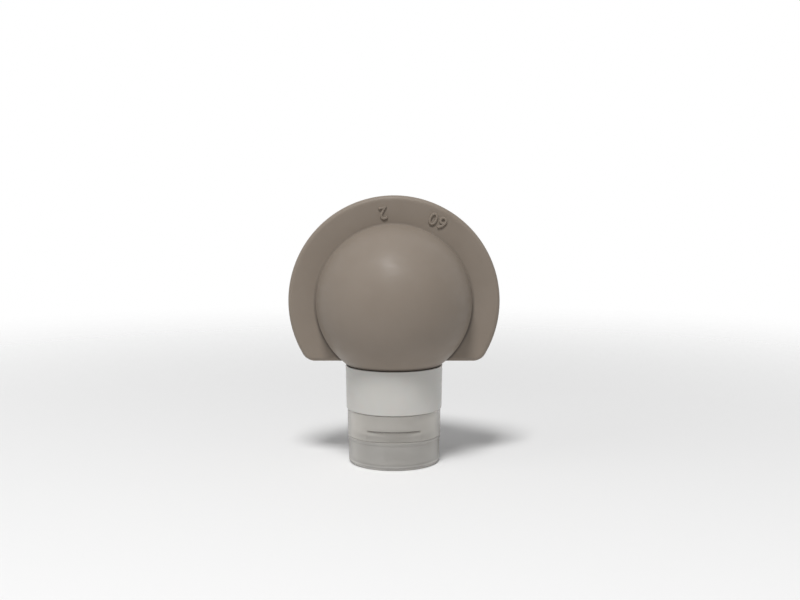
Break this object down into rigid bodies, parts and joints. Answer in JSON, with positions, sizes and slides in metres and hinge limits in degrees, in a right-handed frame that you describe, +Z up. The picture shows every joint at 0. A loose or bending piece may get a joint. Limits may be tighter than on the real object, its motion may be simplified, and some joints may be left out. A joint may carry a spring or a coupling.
{
  "type": "travel bottle",
  "caption": "Squeezable silicone ball bottle with a flat round brim, hard collar and clear screw cap with a flip lid over a pouring spout, for carrying liquids",
  "frame": {"origin": "on the surface that the bottle stands on, under the axis of the cap and at the middle of the overall width and depth", "axes": "+Z up along the axis of the cap and neck, X across the flat brim, +Y to the back where the lid's hinge is, so the thumb recess faces -Y"},
  "size_m": [0.0704, 0.052, 0.0891],
  "materials": {
    "silicone": "smooth greige silicone, satin",
    "collar_plastic": "white polypropylene, satin",
    "washer": "soft white sealing ring",
    "clear_plastic": "clear polypropylene, slightly milky"
  },
  "bodies": {
    "cap": {"cap_shell": "clear_plastic", "hinge_strap": "clear_plastic"},
    "lid": {"flip_lid": "clear_plastic"},
    "washer": {"seal_washer": "washer"},
    "bottle": {"silicone_bottle": "silicone", "collar": "collar_plastic"}
  },
  "joints": [
    {"name": "lid_hinge", "type": "hinge", "parent": "cap", "child": "lid", "pos_m": [0, 0.0162, 0.00935], "axis": [1, 0, 0], "range_deg": [0, 180], "deforming": ["hinge_strap"]},
    {"name": "cap_screw_turn", "type": "hinge", "parent": "cap", "child": "washer", "pos_m": [0, 0, 0.0114], "axis": [0, 0, 1], "range_deg": [0, 720]},
    {"name": "cap_screw_rise", "type": "slide", "parent": "washer", "child": "bottle", "axis": [0, 0, 1], "range_m": [0, 0.0084]}
  ],
  "couplings": [
    {"joint": "cap_screw_rise", "follows": "cap_screw_turn", "m_per_rad": 0.00066845}
  ]
}
